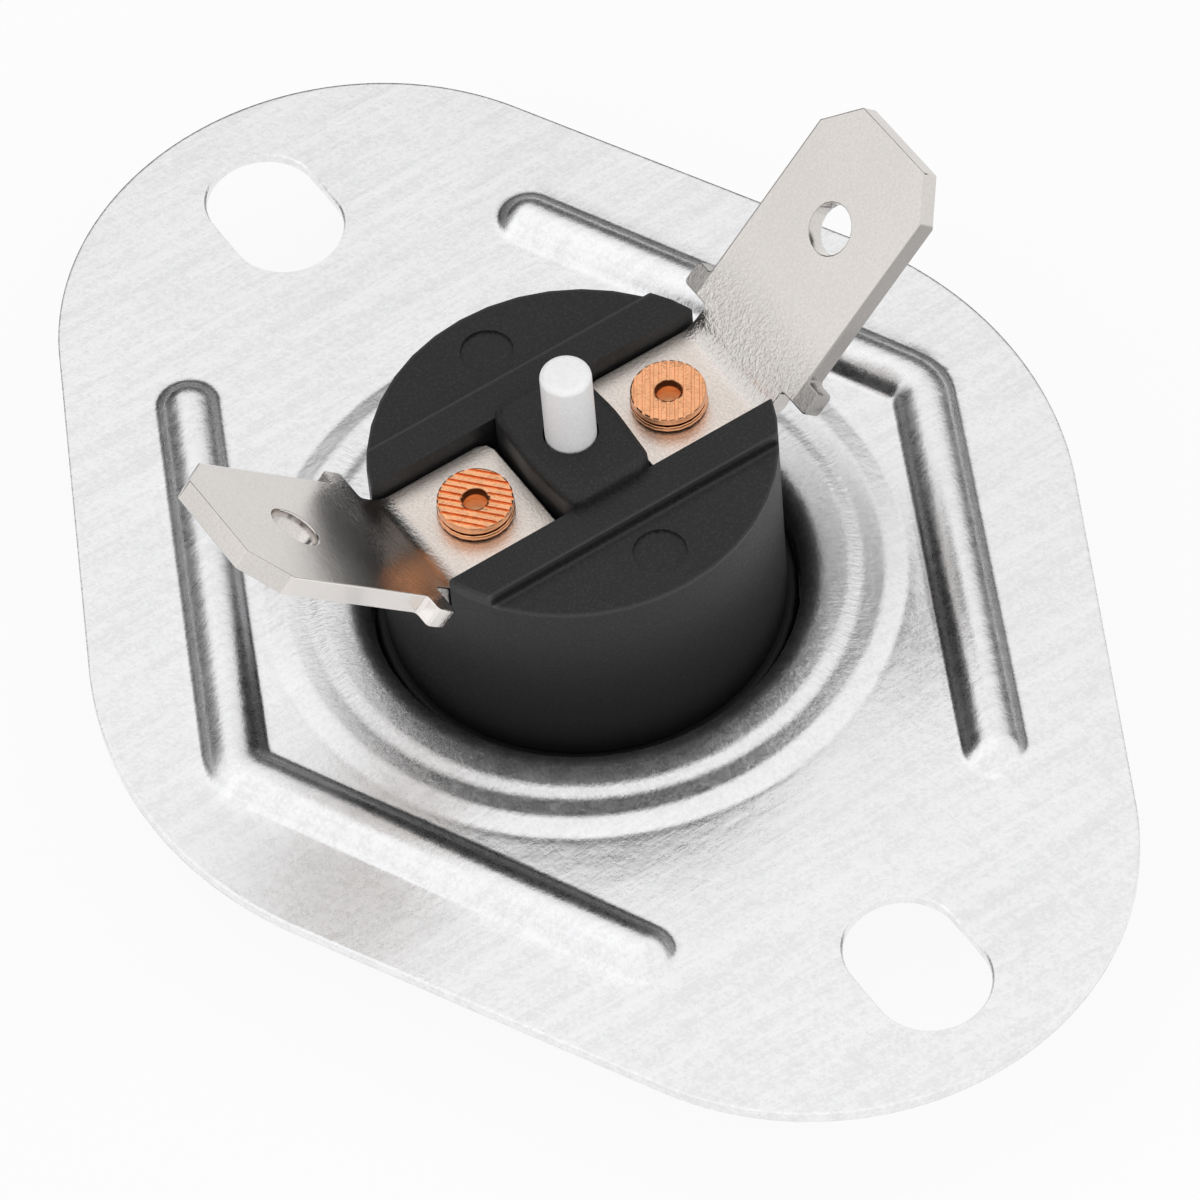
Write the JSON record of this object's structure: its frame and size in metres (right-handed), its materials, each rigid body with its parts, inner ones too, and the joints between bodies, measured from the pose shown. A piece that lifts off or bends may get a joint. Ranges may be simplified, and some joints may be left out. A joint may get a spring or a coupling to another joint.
{
  "type": "rollout limit switch",
  "caption": "Manual-reset snap-disc rollout limit switch: a round black body with a reset pin and quick-connect tabs, crimped in a slotted pressed mounting flange.",
  "frame": {"origin": "middle of the flat sensing face under the cup, which is the middle of the bottom of the object's box", "axes": "+X along the mounting flange through both slots; +Y towards the right-hand terminal, the side of the fixed contact; +Z from the sensing face up to the reset pin"},
  "size_m": [0.0536, 0.038, 0.0198],
  "materials": {
    "flange_aluminium": "satin, rolled and pressed sheet",
    "cup_aluminium": "bright drawn sheet",
    "bimetal": "bright rolled strip",
    "brown_phenolic": "matt moulding",
    "ceramic": "matt, fired",
    "black_phenolic": "matt moulding",
    "nickel_plate": "nickel-plated, bright",
    "copper": "bright copper alloy",
    "brass": "bright rolled strip",
    "spring_alloy": "bright rolled strip",
    "silver": "bright silver contact",
    "white_pin": "matt moulding"
  },
  "bodies": {
    "base": {"mounting_flange": "flange_aluminium", "sensing_cup": "cup_aluminium", "bimetal_disc": "bimetal", "disc_guide": "brown_phenolic", "switch_body": "black_phenolic", "terminal_left": "nickel_plate", "terminal_right": "nickel_plate", "terminal_rivet_left": "copper", "terminal_rivet_right": "copper", "rivet_washer_left": "copper", "rivet_washer_right": "copper", "arm_carrier": "brass", "fixed_contact_bracket": "brass", "arm_rivet": "brass", "fixed_contact": "silver"},
    "trip_pin": {"transfer_pin": "ceramic"},
    "reset_button": {"reset_pin": "white_pin"},
    "arm": {"contact_arm": "spring_alloy", "moving_contact": "silver"}
  },
  "joints": [
    {"name": "trip_slide", "type": "slide", "parent": "base", "child": "trip_pin", "axis": [0, 0, 1], "range_m": [0, 0.00045]},
    {"name": "reset_slide", "type": "slide", "parent": "base", "child": "reset_button", "axis": [0, 0, 1], "range_m": [0, 0.00045]},
    {"name": "arm_lift", "type": "hinge", "parent": "base", "child": "arm", "pos_m": [0, -0.00422, 0.0075], "axis": [1, 0, 0], "range_deg": [0, 6.2]}
  ],
  "couplings": [
    {"joint": "reset_slide", "follows": "trip_slide", "ratio": 1},
    {"joint": "arm_lift", "follows": "trip_slide", "rad_per_m": 236.97}
  ]
}
